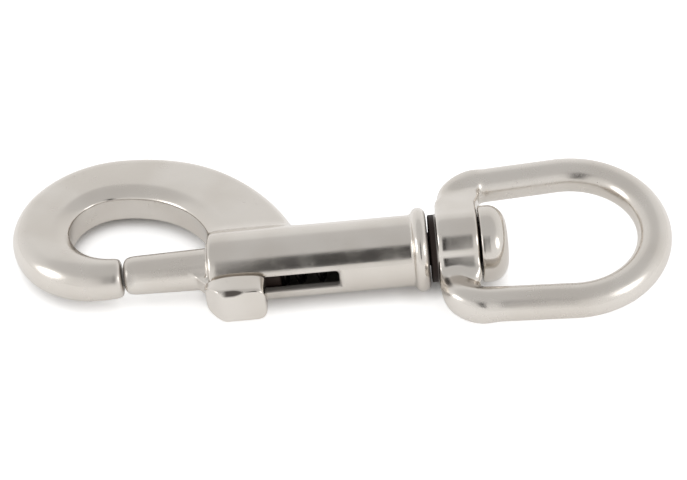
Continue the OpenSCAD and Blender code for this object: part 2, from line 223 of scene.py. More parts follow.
# What fixes the finer shapes: lengths in millimetres, angles in degrees. A change is done over the
# length that ends in _run: it starts at the value in _from, or is over at the one in _end or _in.
SHAPE = {
    # Crook and web
    "tip_lean": 3.0,
    "tip_round": 1.0,
    "tip_side": 0.56,  # share of the throat, from the mouth, at which the tip's side starts
    "low_turn": 35.0,  # the crook's turn is counted from this far below its middle
    "flatten": 2.2,  # how soon the round tip turns into the flat-topped crook
    "crown_turn": 40.0,
    "crown_h": 0.12,
    "side_r": 3.1,
    "side_power": 2.2,
    "web_side_r": 2.0,
    "web_side_from": -14.0,
    "web_side_run": 20.0,
    "web_run": 0.7,
    "web_root": 1.2,
    "root_side": 0.5,  # share of the throat, from the mouth, up to which the root is trimmed
    "shoulder_w": 2.6,
    "shoulder_h": 1.15,
    "inner_edge": 0.22,
    "inner_draft": 0.03,
    # Barrel
    "bead_fillet": 0.6,
    "barrel_end_round": 0.25,
    "bore_corner": 0.4,
    "bore_edge": 0.25,
    "cut_front": -2.5,  # the bore and the slot are cut from here on
    # Bolt
    "nose_back": 0.9,
    "guide_front": 0.4,
    "guide_round": 0.3,
    "spigot_round": 0.4,
    "stem_back": 0.6,
    "stem_sink": 0.6,
    "stem_root": 2.0,
    "stem_round": 0.3,
    "stem_fillet": 0.7,
    "fin_sink": 0.6,
    "fin_along": 0.7715,
    "fin_out": 0.6362,
    # Knob
    "knob_front": 0.35,  # share of the knob's reach at which the slant starts
    "knob_arch": 0.85,
    "arch_skew": 0.4,
    "knob_dish": 0.15,
    "knob_ridge": 0.12,
    "ridge_out": 0.81,
    "ridge_up": 0.58,
    "ridge_edge": 0.25,
    "knob_dip": 0.42,
    "dip_from": 4.2,
    "dip_to": 7.4,
    "face_bow": 0.012,
    "face_low": 1.0,
    "slant_edge": 0.35,
    "side_edge": 0.4,
    "knob_back_edge": 0.3,
    "knob_fillet": 0.5,
    # Pin
    "head_flat": 0.45,  # share of the head's radius that is flat
    "head_edge": 0.3,
    "tail_round": 0.4,
    # Boss, neck and strap of the eye
    "boss_w": 10.4,
    "boss_h": 11.8,
    "boss_front": 0.4,
    "neck_turn": 60.5,
    "neck_r": 4.1,
    "neck_fillet": 1.3,
    "neck_from": 4.5,
    "neck_run": 2.5,
    "slope_turn": 24.0,
    "slope_fillet": 1.6,
    "arm_t": 2.0,
    "arm_run": 4.6,
    "arm_fillet": 1.5,
    "steepest": 3.0,  # no slope of the strap counts as steeper
    "front_round": 1.4,
    "front_from": 5.5,
    "front_run": 4.0,
    "far_end": 0.7,
    "far_from": 5.2,
    "far_run": 3.2,
    "near_round": 1.8,
    "near_from": 5.8,
    "near_run": 2.0,
    "inset": 0.1,
    "inset_more": 0.9,
    "inset_from": 6.0,
    "inset_run": 5.0,
    "strap_edge": 1.1,
    # Hub and ring of the eye
    "hub_d": 10.2,
    "hub_gap": 0.25,
    "hub_sink": 1.5,
    "hub_fillet": 0.3,
    "eye_taper": 3.5,
    "eye_lean": 0.045,
    "lean_end": 46.0,
    "lean_run": 8.0,
    "loop_thin": 1.9,
    "loop_in": 11.5,
    "loop_in_run": 7.0,
    "loop_end": 43.0,
    "loop_end_run": 2.5,
    "ring_yaw": 0.0359,
    "ring_droop": 0.0385,
}
# Small roundings that several pieces share
SHARP, FINE, SOFT = 0.1, 0.2, 0.3
OVERLAP = 1.0  # how far forms of one piece run into each other
FAR = 9.0  # a distance that leaves a cut out


def setting_names(group):
    """The names of a group's own settings."""
    return [key for key in group.bl_rna.properties.keys() if key not in ("rna_type", "name")]


def sizes(scene):
    """All the sizes in one place, in millimetres and degrees."""
    all_sizes = SimpleNamespace(**SHAPE)
    hook = scene.snap_hook
    for group in (hook.body, hook.bolt, hook.eye, hook.spring):
        for key in setting_names(group):
            setattr(all_sizes, key, getattr(group, key) / MM)
    return all_sizes


# ------------------------------------------------------------------ blending

K_PER_RADIUS = 1.76


def smooth_min(a, b, k):
    """Union of two distance fields, with a fillet that k sets."""
    h = np.maximum(k - np.abs(a - b), 0.0) / k
    return np.minimum(a, b) - h * h * h * k / 6.0


def smooth_max(a, b, k):
    """What two distance fields have in common, with a rounded edge that k sets."""
    return -smooth_min(-a, -b, k)


def edge(radius):
    """The k that rounds a square edge to about this radius."""
    return K_PER_RADIUS * radius


def ease(t):
    """0 up to 0, 1 from 1 on, smooth between."""
    t = np.clip(t, 0.0, 1.0)
    return t * t * (3.0 - 2.0 * t)


def fade(value, start, end):
    """1 before start, 0 after end."""
    return 1.0 - ease((value - start) / (end - start))


# ---------------------------------------------------------- crook in plan
# Headings are in degrees; the outlines run clockwise from the tip, and 0 is along +X.


def right_of(heading):
    a = math.radians(heading)
    return np.array([math.sin(a), -math.cos(a)])


class Arc:
    """One arc of an outline. Its end is where the next one starts."""

    def __init__(self, start, heading, radius, to):
        self.radius = radius
        self.centre = start + radius * right_of(heading)
        self.end = self.centre - radius * right_of(to)

    def beyond(self, x, y):
        """Distance outside the arc's circle."""
        return np.hypot(x - self.centre[0], y - self.centre[1]) - self.radius


def landing(start, heading, at):
    """Radius and last heading of the arc that leaves start at a heading and ends at a point."""
    run = at - start
    radius = run @ run / (2.0 * (run @ right_of(heading)))
    return radius, 2.0 * math.degrees(math.atan2(run[1], run[0])) - heading


class Crook:
    """Plan and section of the crook and the web that joins it to the barrel."""

    def __init__(self, s):
        self.s = s
        self.heading = 180.0 + s.tip_lean
        self.tip = np.array([-s.throat, -s.tip_drop])
        a = math.radians(self.heading)
        self.run = np.array([math.cos(a), math.sin(a)])
        self.right = right_of(self.heading)
        r = s.tip_d / 2
        self.inner_tip = self.tip + s.tip_chamfer * self.run + r * self.right
        self.outer_tip = self.tip + s.tip_l * self.run - r * self.right
        self.in_low = Arc(self.inner_tip, self.heading, s.inner_low_r, 90)
        self.in_high = Arc(self.in_low.end, 90, s.inner_high_r, 0)
        radius, last = landing(self.in_high.end, 0, np.array([s.mouth_x, s.land_y]))
        self.in_foot = Arc(self.in_high.end, 0, radius, last)
        self.out_low = Arc(self.outer_tip, self.heading, s.outer_low_r, 90)
        self.out_high = Arc(self.out_low.end, 90, s.outer_high_r, 0)
        self.out_crown = Arc(self.out_high.end, 0, s.crown_r, -s.crown_turn)
        foot = np.array([s.web_l + s.web_run, s.land_y])
        radius, last = landing(self.out_crown.end, -s.crown_turn, foot)
        self.out_foot = Arc(self.out_crown.end, -s.crown_turn, radius, last)

    def plan(self, x, y):
        """Distances inward from the inner and the outer outline, over the metal."""
        tip_side = x < -self.s.tip_side * self.s.throat
        along_in = (x - self.inner_tip[0]) * self.run[0] + (y - self.inner_tip[1]) * self.run[1]
        along_out = (x - self.outer_tip[0]) * self.run[0] + (y - self.outer_tip[1]) * self.run[1]
        line_in = -(x - self.inner_tip[0]) * self.right[0] - (y - self.inner_tip[1]) * self.right[1]
        line_out = (x - self.outer_tip[0]) * self.right[0] + (y - self.outer_tip[1]) * self.right[1]
        low = np.where(along_in < 0, line_in, self.in_low.beyond(x, y))
        foot = self.in_foot.beyond(x, y)
        inner = np.where(
            y < self.in_low.end[1],
            np.where(tip_side, low, foot),
            np.where(x < self.in_high.end[0], self.in_high.beyond(x, y), foot),
        )
        low = np.where(along_out < 0, line_out, -self.out_low.beyond(x, y))
        turn = right_of(-self.s.crown_turn)
        across = (x - self.out_crown.end[0]) * -turn[1] + (y - self.out_crown.end[1]) * turn[0]
        web = np.where(across < 0, -self.out_crown.beyond(x, y), -self.out_foot.beyond(x, y))
        outer = np.where(
            y < self.out_low.end[1],
            np.where(tip_side, low, web),
            np.where(x < self.out_high.end[0], -self.out_high.beyond(x, y), web),
        )
        return inner, outer

    def field(self, x, y, z):
        """Round at the tip, then flat-topped: half round outside, a shoulder and an edge inside."""
        s = self.s
        inner, outer = self.plan(x, y)
        cx, cy = self.in_high.end[0], self.in_low.end[1]
        angle = np.degrees(np.arctan2(y - cy, x - cx))
        angle = np.where(angle < -s.low_turn, angle + 360, angle)
        turned = 1.0 - (angle - 90.0) / self.heading
        full = ease(s.flatten * turned)
        half_t = (s.tip_d + (s.crook_t - s.tip_d) * full) / 2
        round_bar = np.hypot((inner - outer) / 2, z) - (inner + outer) / 2
        side_r = s.side_r + (s.web_side_r - s.side_r) * ease((x - s.web_side_from) / s.web_side_run)
        u = np.clip(1.0 - outer / side_r, 0.0, 3.0)
        v = np.abs(z) / half_t
        power = s.side_power
        q = np.maximum(u**power + v**power, 1e-6)
        root = q ** (1.0 / power)
        slope = (root / q) * np.hypot(
            np.maximum(u, 1e-3) ** (power - 1) / side_r, np.maximum(v, 1e-3) ** (power - 1) / half_t
        )
        plate = (root - 1.0) / np.maximum(slope, 0.02)
        near = np.maximum(1.0 - inner / s.shoulder_w, 0.0)
        crown = s.crown_h * ((inner - outer) / np.maximum(inner + outer, 2.0)) ** 2
        plate = plate + s.shoulder_h * near**2 + crown
        draft = s.inner_draft * (s.crook_t / 2 - np.abs(z))
        plate = smooth_max(plate, draft - inner, edge(s.inner_edge))
        solid = round_bar + (plate - round_bar) * full
        # The tip ends square to its run, with a rounded edge
        along = (x - self.tip[0]) * self.run[0] + (y - self.tip[1]) * self.run[1]
        near_tip = (x < -s.tip_side * s.throat) & (y < cy)
        cut = smooth_max(solid, -along, edge(s.tip_round))
        solid = np.where(near_tip, cut, solid)
        # The web's root stops inside the barrel
        return np.where(x > -s.root_side * s.throat, np.maximum(solid, s.web_root - y), solid)


# ------------------------------------------------------------------- fields


def capped(side, x, x0, x1, r0, r1):
    """A bar along X with rounded ends."""
    return smooth_max(smooth_max(side, x0 - x, edge(r0)), x - x1, edge(r1))


def body_field(s):
    crook = Crook(s)
    radius = s.barrel_d / 2
    bore_r = radius - s.barrel_wall
    bead_r = s.flange_w / 2
    bead_x = s.barrel_l - bead_r

    def field(x, y, z):
        rho = np.hypot(y, z)
        bead = np.hypot(rho - s.flange_d / 2 + bead_r, x - bead_x) - bead_r
        barrel = smooth_min(rho - radius, bead, s.bead_fillet)
        barrel = capped(barrel, x, s.mouth_x, s.barrel_l, s.mouth_round, s.barrel_end_round)
        solid = smooth_min(barrel, crook.field(x, y, z), s.web_fillet)
        bore = smooth_max(rho - bore_r, x - s.bore_end, s.bore_corner)
        solid = smooth_max(solid, -np.where(x < s.cut_front, FAR, bore), edge(s.bore_edge))
        round_z = np.abs(z) - s.slot_w / 2
        slot = smooth_max(round_z, x - s.slot_l, edge(s.slot_corner))
        slot = np.maximum(slot, y + bore_r / 2)
        return smooth_max(solid, -np.where(x < s.cut_front, FAR, slot), edge(s.slot_edge))

    return field


def ridge_depth(s, x, y, z):
    """Distance outside the chamfer along the knob's top edge, which dips in its front half."""
    face = s.barrel_d / 2 + s.knob_out
    dip = fade(x, s.knob_start + s.dip_from, s.knob_start + s.dip_to)
    flat = s.ridge_out * (-y - face) + s.ridge_up * (z - s.knob_h / 2)
    return flat + s.knob_ridge + s.knob_dip * dip


def bolt_field(s):
    radius = s.barrel_d / 2
    guide_r = radius - s.barrel_wall - s.run_fit
    nose_x = s.tip_gap - s.throat
    stem_half = s.slot_w / 2 - s.stem_fit
    top = radius + s.knob_lift
    face = radius + s.knob_out
    x0, x1 = s.knob_start, s.knob_start + s.knob_l
    mid_x, half_x, half_z = (x0 + x1) / 2, s.knob_l / 2, s.knob_h / 2
    front_h = s.knob_front * (face - top)
    slant = np.array([-(face - top - front_h), -s.knob_slant])
    slant /= np.linalg.norm(slant)

    def knob(x, y, z):
        qx = np.abs(x - mid_x) - half_x + s.knob_corner
        qz = np.abs(z) - half_z + s.knob_corner
        outline = np.hypot(np.maximum(qx, 0), np.maximum(qz, 0)) + np.minimum(np.maximum(qx, qz), 0)
        outline = outline - s.knob_corner
        lean = (x - x0) * slant[0] + (y + top + front_h) * slant[1]
        across = (x - mid_x) / half_x
        out = ease((-y - top) / (face - top))
        skew = 1.0 - s.arch_skew * across
        arch = s.knob_arch * skew * across**2 * (1.0 - out) + s.knob_dish * out
        front = -y - face + s.face_bow * (z + s.face_low) ** 2
        block = smooth_max(outline, front, edge(s.knob_edge))
        block = smooth_max(block, lean, edge(s.slant_edge))
        block = smooth_max(block, np.abs(z) - half_z + arch, edge(s.side_edge))
        block = smooth_max(block, ridge_depth(s, x, y, z), edge(s.ridge_edge))
        return smooth_max(block, y + top, edge(s.knob_back_edge))

    def field(x, y, z):
        rho = np.hypot(y, z)
        taper = s.nose_tip_d / 2 + (s.nose_d - s.nose_tip_d) / 2 * (x - nose_x) / -nose_x
        nose = capped(rho - taper, x, nose_x, s.nose_back, s.nose_round, SHARP)
        guide = capped(rho - guide_r, x, s.guide_front, s.guide_end, s.guide_round, s.guide_round)
        spigot_x = (s.guide_end - OVERLAP, s.guide_end + s.spigot_l)
        spigot = capped(rho - s.spigot_d / 2, x, *spigot_x, FINE, s.spigot_round)
        core = np.minimum(np.minimum(nose, guide), spigot)
        fin = -(x - x0 + s.fin_l) * s.fin_along - (y + s.nose_d / 2 - s.fin_sink) * s.fin_out
        stem = smooth_max(np.abs(z) - stem_half, x - x1 + s.stem_back, edge(s.stem_round))
        stem = smooth_max(stem, fin, edge(s.stem_round))
        stem = smooth_max(np.maximum(stem, -y - top - s.stem_sink), y + s.stem_root, SOFT)
        core = smooth_min(core, stem, s.stem_fillet)
        return smooth_min(core, knob(x, y, z), s.knob_fillet)

    return field


def pin_field(s):
    flat_r = s.head_flat * s.head_d / 2
    dome_r = s.head_d / 2 - flat_r
    dome_h = s.head_h - s.head_rim
    head_x = s.boss_end + s.head_gap

    def field(x, y, z):
        rho = np.hypot(y, z)
        corner = np.hypot(
            np.maximum(rho - flat_r, 0) / dome_r, np.maximum(x - head_x - s.head_rim, 0) / dome_h
        )
        head = smooth_max((corner - 1.0) * min(dome_r, dome_h), head_x - x, edge(s.head_edge))
        shank = capped(rho - s.shank_d / 2, x, s.barrel_l, head_x + OVERLAP, SHARP, SHARP)
        tail_x = (s.bore_end - s.tail_proud, s.barrel_l + OVERLAP)
        tail = capped(rho - s.tail_d / 2, x, *tail_x, s.tail_round, SHARP)
        return np.minimum(smooth_min(head, shank, FINE), tail)

    return field


def strap_height(s, y):
    """Half thickness of the eye's strap across the axis.

    An egg-shaped boss in the middle; a hollow neck on the low side; a plain slope on the other.
    """
    half_w, half_h = s.boss_w / 2, s.boss_h / 2

    def leaves(turn):
        """Where the boss's outline has turned this far."""
        a = math.radians(turn)
        span = math.hypot(half_w * math.sin(a), half_h * math.cos(a))
        return half_w**2 * math.sin(a) / span, half_h**2 * math.cos(a) / span, math.sin(a), math.cos(a)

    ay = np.abs(y)
    boss = half_h * np.sqrt(np.maximum(1.0 - (ay / half_w) ** 2, 0.0))
    at, height, sin, cos = leaves(s.neck_turn)
    middle, lift = at + s.neck_r * sin, height + s.neck_r * cos
    neck = lift - np.sqrt(np.maximum(s.neck_r**2 - (ay - middle) ** 2, 0.0))
    low = lift - s.neck_r
    arm = low + (s.arm_t - low) * ease((ay - middle) / s.arm_run)
    near = np.where(ay < at, boss, np.where(ay < middle, neck, arm))
    at, height, sin, cos = leaves(s.slope_turn)
    slope = smooth_max(height - (ay - at) * sin / cos, s.arm_t + 0.0 * ay, s.slope_fillet)
    far = np.where(ay < at, boss, slope)
    return np.where(y < 0, near, far)


def eye_field(s):
    bar_r = s.eye_bar_d / 2
    ring_r = s.eye_inside_w / 2 + bar_r
    round_x = s.boss_end + s.eye_inside_l + s.eye_bar_d - bar_r - ring_r
    t = math.radians(s.eye_taper)
    out = np.array([-math.sin(t), math.cos(t)])
    side = np.array([math.cos(t), math.sin(t)])
    round_end = np.array([round_x, 0.0]) + ring_r * out
    front_x = s.boss_x + bar_r
    corner_x = front_x + s.eye_corner_r
    corner_y = round_end[1] + (corner_x - round_end[0]) * math.tan(t) - s.eye_corner_r / math.cos(t)

    def centre_line(x, y):
        """Distance outside the loop's centre line, in plan."""
        ay = np.abs(y)
        rx, cx, cy = x - round_x, x - corner_x, ay - corner_y
        straight = (x - round_end[0]) * out[0] + (ay - round_end[1]) * out[1]
        corner = np.hypot(cx, cy) - s.eye_corner_r
        line = np.where(cx * side[0] + cy * side[1] < 0, np.where(cy < 0, front_x - x, corner), straight)
        return np.where(rx * side[0] + ay * side[1] > 0, np.hypot(rx, ay) - ring_r, line)

    def field(x, y, z):
        # The ring hangs a little down and to one side of the boss
        beyond = np.maximum(x - s.boss_end, 0.0)
        lean = s.eye_lean * np.maximum(y, 0.0) * ease((s.lean_end - x) / s.lean_run)
        line = centre_line(x - lean, y - s.ring_yaw * beyond)
        ay = np.abs(y)
        inboard = ease((s.loop_in - ay) / s.loop_in_run) * ease((s.loop_end - x) / s.loop_end_run)
        loop = np.hypot(line, z + s.ring_droop * beyond) - bar_r + s.loop_thin * inboard
        rise = (strap_height(s, y + REACH) - strap_height(s, y - REACH)) / (2.0 * REACH)
        steep = np.sqrt(1.0 + np.minimum(rise**2, s.steepest**2))
        strap = (np.abs(z) - strap_height(s, y)) / steep
        front = s.boss_x - x + lean
        rounding = s.boss_front + s.front_round * ease((ay - s.front_from) / s.front_run)
        strap = smooth_max(strap, front, edge(rounding))
        end = s.boss_end + s.far_end * ease((y - s.far_from) / s.far_run)
        rounding = s.boss_round + s.near_round * ease((-y - s.near_from) / s.near_run)
        strap = smooth_max(strap, x - lean - end, edge(rounding))
        inset = s.inset + s.inset_more * ease((ay - s.inset_from) / s.inset_run)
        strap = smooth_max(strap, line - bar_r + inset, edge(s.strap_edge))
        fillet = s.arm_fillet + s.neck_fillet * ease((-y - s.neck_from) / s.neck_run)
        solid = smooth_min(loop, strap, fillet)
        rho = np.hypot(y, z)
        hub_x = (s.barrel_l + s.hub_gap, s.boss_x + s.hub_sink)
        solid = smooth_min(solid, capped(rho - s.hub_d / 2, x, *hub_x, FINE, SHARP), s.hub_fillet)
        bore = np.where(x < s.boss_end + 3 * OVERLAP, s.shank_d / 2 + s.run_fit - rho, -FAR)
        return smooth_max(solid, bore, edge(FINE))

    return field


# ------------------------------------------------------------------ meshing

REACH = 0.02  # how far each way a slope is taken, in millimetres
NORMAL_REACH = 0.03
FIRST_MOVES, MOVES, ROUNDS, SMOOTHING = 3, 2, 2, 0.5
CORNERS = np.array([(i, j, k) for i in (0, 1) for j in (0, 1) for k in (0, 1)])
EDGES = [
    (a, b)
    for a in range(8)
    for b in range(a + 1, 8)
    if np.abs(CORNERS[a] - CORNERS[b]).sum() == 1
]


def gradient(field, p, reach):
    """Slope of a field at points, over a short reach each way."""
    g = np.empty_like(p)
    for axis in range(3):
        step = np.zeros(3)
        step[axis] = reach
        hi, lo = p + step, p - step
        g[:, axis] = field(hi[:, 0], hi[:, 1], hi[:, 2]) - field(lo[:, 0], lo[:, 1], lo[:, 2])
    return g / (2.0 * reach)


def settle(field, p, reach, limit, times):
    """Moves points onto the field's surface."""
    for _ in range(times):
        g = gradient(field, p, reach)
        d = field(p[:, 0], p[:, 1], p[:, 2])
        move = d[:, None] * g / np.maximum((g * g).sum(1), 0.05)[:, None]
        far = np.maximum(np.linalg.norm(move, axis=1), 1e-9)
        p = p - move * np.minimum(1.0, limit / far)[:, None]
    return p


def skin(field, low, high, step):
    """Points and quads of a field's surface inside a box, one point a cell."""
    axes = [np.arange(lo, hi + step, step) for lo, hi in zip(low, high)]
    v = field(axes[0][:, None, None], axes[1][None, :, None], axes[2][None, None, :])
    n = np.array(v.shape)
    corner = [
        v[c[0] : n[0] - 1 + c[0], c[1] : n[1] - 1 + c[1], c[2] : n[2] - 1 + c[2]] for c in CORNERS
    ]
    inside = sum((c < 0).astype(np.int8) for c in corner)
    mixed = (inside > 0) & (inside < 8)
    cell = np.argwhere(mixed)
    ids = np.full(mixed.shape, -1, np.int64)
    ids[mixed] = np.arange(len(cell))
    values = [c[mixed] for c in corner]
    total = np.zeros((len(cell), 3))
    count = np.zeros(len(cell))
    for a, b in EDGES:
        va, vb = values[a], values[b]
        cross = (va < 0) != (vb < 0)
        t = np.where(cross, va / np.where(cross, va - vb, 1.0), 0.0)
        total += cross[:, None] * (CORNERS[a] + t[:, None] * (CORNERS[b] - CORNERS[a]))
        count += cross
    points = np.array(low) + (cell + total / count[:, None]) * step
    quads = []
    for axis in range(3):
        one, two = (axis + 1) % 3, (axis + 2) % 3
        pick = [slice(1, -1)] * 3
        pick[axis] = slice(None, -1)
        after = list(pick)
        after[axis] = slice(1, None)
        a, b = v[tuple(pick)] < 0, v[tuple(after)] < 0
        where = np.argwhere(a != b)
        sense = a[tuple(where.T)]
        base = where + 1
        base[:, axis] = where[:, axis]
        ring = []
        for d1, d2 in ((1, 1), (0, 1), (0, 0), (1, 0)):
            c = base.copy()
            c[:, one] -= d1
            c[:, two] -= d2
            ring.append(ids[tuple(c.T)])
        quad = np.stack(ring, 1)
        quads.append(np.where(sense[:, None], quad, quad[:, ::-1]))
    return points, np.concatenate(quads)


def relax(points, quads, part):
    """Moves each point part of the way to the middle of its neighbours."""
    total = np.zeros_like(points)
    count = np.zeros(len(points))
    for i in range(4):
        a, b = quads[:, i], quads[:, (i + 1) % 4]
        for p, q in ((a, b), (b, a)):
            for axis in range(3):
                total[:, axis] += np.bincount(p, points[q, axis], len(points))
            count += np.bincount(p, minlength=len(points))
    return points + part * (total / count[:, None] - points)


def placed(name, data, matrix=None):
    """A new object in the scene, put at a placing if there is one."""
    obj = bpy.data.objects.new(name, data)
    if matrix is not None:
        obj.matrix_world = matrix
    bpy.context.scene.collection.objects.link(obj)
    return obj


def cast_piece(name, field, low, high, step, shade_and_wear, turn=0.0):
    """A smooth casting: the mesh of a field, with normals taken from the field itself.

    The function of x, y and z that it is given says how much painted shade the plate takes and how satin
    its polish, each from 0 to 1.
    """
    points, quads = skin(field, low, high, step)
    if not len(points):
        raise RuntimeError(f"{name} came out empty")
    points = settle(field, points, REACH, step / 2, FIRST_MOVES)
    for _ in range(ROUNDS):
        points = settle(field, relax(points, quads, SMOOTHING), REACH, step / 2, MOVES)
    normals = gradient(field, points, NORMAL_REACH)
    normals /= np.maximum(np.linalg.norm(normals, axis=1), 1e-9)[:, None]
    shade_and_satin = shade_and_wear(points[:, 0], points[:, 1], points[:, 2])
    place = np.array(lie_matrix(turn))
    points = points @ place[:3, :3].T + place[:3, 3]
    normals = normals @ place[:3, :3].T / MM
    mesh = bpy.data.meshes.new(name)
    mesh.vertices.add(len(points))
    mesh.vertices.foreach_set("co", points.astype(np.float32).ravel())
    mesh.loops.add(quads.size)
    mesh.loops.foreach_set("vertex_index", quads.astype(np.int32).ravel())
    mesh.polygons.add(len(quads))
    mesh.polygons.foreach_set("loop_start", np.arange(0, quads.size, 4, dtype=np.int32))
    mesh.polygons.foreach_set("use_smooth", np.ones(len(quads), bool))
    mesh.update(calc_edges=True)
    mesh.validate()
    # The painted shade and the satin go on the mesh as point attributes
    for key, value in zip(("bare", "satin"), shade_and_satin):
        layer = mesh.attributes.new(key, "FLOAT", "POINT")
        layer.data.foreach_set("value", np.clip(value, 0.0, 1.0).astype(np.float32))
    mesh.normals_split_custom_set_from_vertices(normals.tolist())
    return placed(name, mesh)


# ---------------------------------------------------------------- materials


class Value:
    """A number on a shader socket, with arithmetic that adds Math nodes."""

    def __init__(self, tree, socket):
        self.tree, self.socket = tree, socket

    def math(self, operation, *others):
        """A Math node on this value and others."""
        return self.tree.add("ShaderNodeMath", {"operation": operation}, (self,) + others)

    def __add__(self, other):
        return self.math("ADD", other)

    def __mul__(self, other):
        return self.math("MULTIPLY", other)

    def __sub__(self, other):
        return self.math("SUBTRACT", other)

    def __rsub__(self, other):
        return self.tree.add("ShaderNodeMath", {"operation": "SUBTRACT"}, (other, self))

    __radd__ = __add__
    __rmul__ = __mul__

    def over(self, low, high):
        """0 below low, 1 above high, eased between."""
        settings = {"interpolation_type": "SMOOTHSTEP", "clamp": True}
        return self.tree.add("ShaderNodeMapRange", settings, {"Value": self, 1: low, 2: high})


class Tree:
    """Adds nodes to a material or a world."""

    def __init__(self, owner):
        owner.use_nodes = True
        self.nodes, self.links = owner.node_tree.nodes, owner.node_tree.links
        self.nodes.clear()

    def add(self, kind, settings=None, inputs=(), output=0):
        """A node of a type: its settings first, then the values or links of its sockets."""
        node = self.nodes.new(kind)
        for key, value in (settings or {}).items():
            if key == "stops":
                ramp = node.color_ramp.elements
                while len(ramp) < len(value):
                    ramp.new(0.5)
                for stop, (position, color) in zip(ramp, value):
                    stop.position, stop.color = position, color
            else:
                setattr(node, key, value)
        items = inputs.items() if isinstance(inputs, dict) else enumerate(inputs)
        for key, value in items:
            if isinstance(value, Value):
                self.links.new(value.socket, node.inputs[key])
            else:
                node.inputs[key].default_value = value
        return Value(self, node.outputs[output]) if node.outputs else None

    def finish(self, kind, inputs, target="Material"):
        """The last shader, joined to the output."""
        self.add("ShaderNodeOutput" + target, {}, {"Surface": self.add(kind, {}, inputs)})

    def mix(self, part, a, b):
        """Colour a turned into colour b."""
        settings = {"data_type": "RGBA"}
        return self.add("ShaderNodeMix", settings, {0: part, 6: a, 7: b}, 2)

    def noise(self, where, scale, detail=2.0, rough=0.5):
        """Cloudy values round a half; scale is how many clouds there are to a metre."""
        inputs = {"Vector": where, "Scale": scale, "Detail": detail, "Roughness": rough}
        return self.add("ShaderNodeTexNoise", {}, inputs)


def grey(level):
    """A grey for a socket."""
    return (level, level, level, 1.0)


BLACK, WHITE = grey(0.0), grey(1.0)


def rgba(color, factor=1.0):
    """A colour for a socket, darkened by a factor."""
    return tuple(min(1.0, c * factor) for c in color) + (1.0,)


# How fine each mark in the plate is, in waves or clouds to a metre
WAVES, HAZE, POLISH_LINES, PITS, PIT_PATCHES, WIRE_CLOUDS = 90.0, 260.0, 4200.0, 900.0, 150.0, 700.0
POLISH_RUN = (0.12, 1.0, 1.0)  # the polish lines are drawn out along the barrel
PIT_DARK, PIT_ROUGH, PIT_DEPTH = 0.35, 0.12, 0.002
LINES_ROUGH = 0.05
# How much rougher the plate is where painted shade is set, how far it turns from metal there, and how
# shiny what is not metal stays
SHADE_ROUGH, SHADE_DULL, SHADE_SHINE = 0.35, 0.8, 0.15
WIRE_ROUGH, WIRE_PITTED, WIRE_HEIGHT, WIRE_BUMP = 0.3, 0.2, 0.02, 0.3


def nickel(name, p, shift):
    """Polished nickel plate on a casting: warm, a little wavy, hazed in patches and finely marked;
    near-black and dull as painted shade where the mesh marks it.

    The shift keeps two pieces from having the same marks.
    """
    material = bpy.data.materials.new(name)
    tree = Tree(material)
    where = tree.add("ShaderNodeTexCoord", {}, (), "Object")
    moved = (shift, shift * 0.37, 0.0)
    where = tree.add("ShaderNodeVectorMath", {"operation": "ADD"}, (where, moved))
    broad = tree.noise(where, WAVES)
    haze = tree.noise(where, HAZE, 4.0, 0.6).over(0.42, 0.74)
    stretched = tree.add("ShaderNodeMapping", {}, {"Vector": where, "Scale": POLISH_RUN})
    lines = tree.noise(stretched, POLISH_LINES, 3.0, 0.6)
    pits = tree.add("ShaderNodeTexVoronoi", {"feature": "F1"}, {"Vector": where, "Scale": PITS})
    sparse = tree.noise(where, PIT_PATCHES, 1.0).over(0.55, 0.68)
    marks = (1.0 - pits.over(0.05, 0.16)) * sparse
    bare = tree.add("ShaderNodeAttribute", {"attribute_name": "bare"}, (), "Fac")
    satin = tree.add("ShaderNodeAttribute", {"attribute_name": "satin"}, (), "Fac")
    tint = tree.mix(broad.over(0.35, 0.65), rgba(p.color), rgba(p.color_deep))
    tint = tree.mix(marks * PIT_DARK, tint, rgba(p.color_deep, 0.6))
    # Painted shade: the plate turns near-black and dull where the mesh marks it
    tint = tree.mix(bare, tint, rgba(p.painted_shade_color))
    rough = p.roughness + haze * p.haze + (lines - 0.5) * LINES_ROUGH + marks * PIT_ROUGH
    rough = rough + bare * SHADE_ROUGH + satin * p.satin
    height = (broad - 0.5) * p.wave + (lines - 0.5) * p.lines - marks * PIT_DEPTH
    bump = tree.add("ShaderNodeBump", {}, {"Strength": 1.0, "Distance": MM, "Height": height})
    look = {"Base Color": tint, "Roughness": rough, "Normal": bump}
    look.update({"Metallic": 1.0 - bare * SHADE_DULL, "Specular IOR Level": SHADE_SHINE})
    tree.finish("ShaderNodeBsdfPrincipled", look)
    return material


def spring_steel(name, p):
    """Dark drawn wire, oiled; its colour is darkened further as painted shade for the wire inside the
    bore.
    """
    material = bpy.data.materials.new(name)
    tree = Tree(material)
    where = tree.add("ShaderNodeTexCoord", {}, (), "Object")
    cloud = tree.noise(where, WIRE_CLOUDS, 4.0, 0.6)
    tint = tree.mix(cloud.over(0.3, 0.7), rgba(p.wire_color), rgba(p.wire_color, 0.55))
    height = {"Strength": WIRE_BUMP, "Distance": MM, "Height": cloud * WIRE_HEIGHT}
    bump = tree.add("ShaderNodeBump", {}, height)
    rough = WIRE_ROUGH + cloud * WIRE_PITTED
    look = {"Base Color": tint, "Metallic": 1.0, "Roughness": rough, "Normal": bump}
    tree.finish("ShaderNodeBsdfPrincipled", look)
    return material


def ray_kinds(tree):
    """Which rays look: the camera's own, and those that metal and glass send on."""
    seen, shiny, clear = (
        tree.add("ShaderNodeLightPath", {}, (), f"Is {kind} Ray")
        for kind in ("Camera", "Glossy", "Transmission")
    )
    return seen, shiny + clear


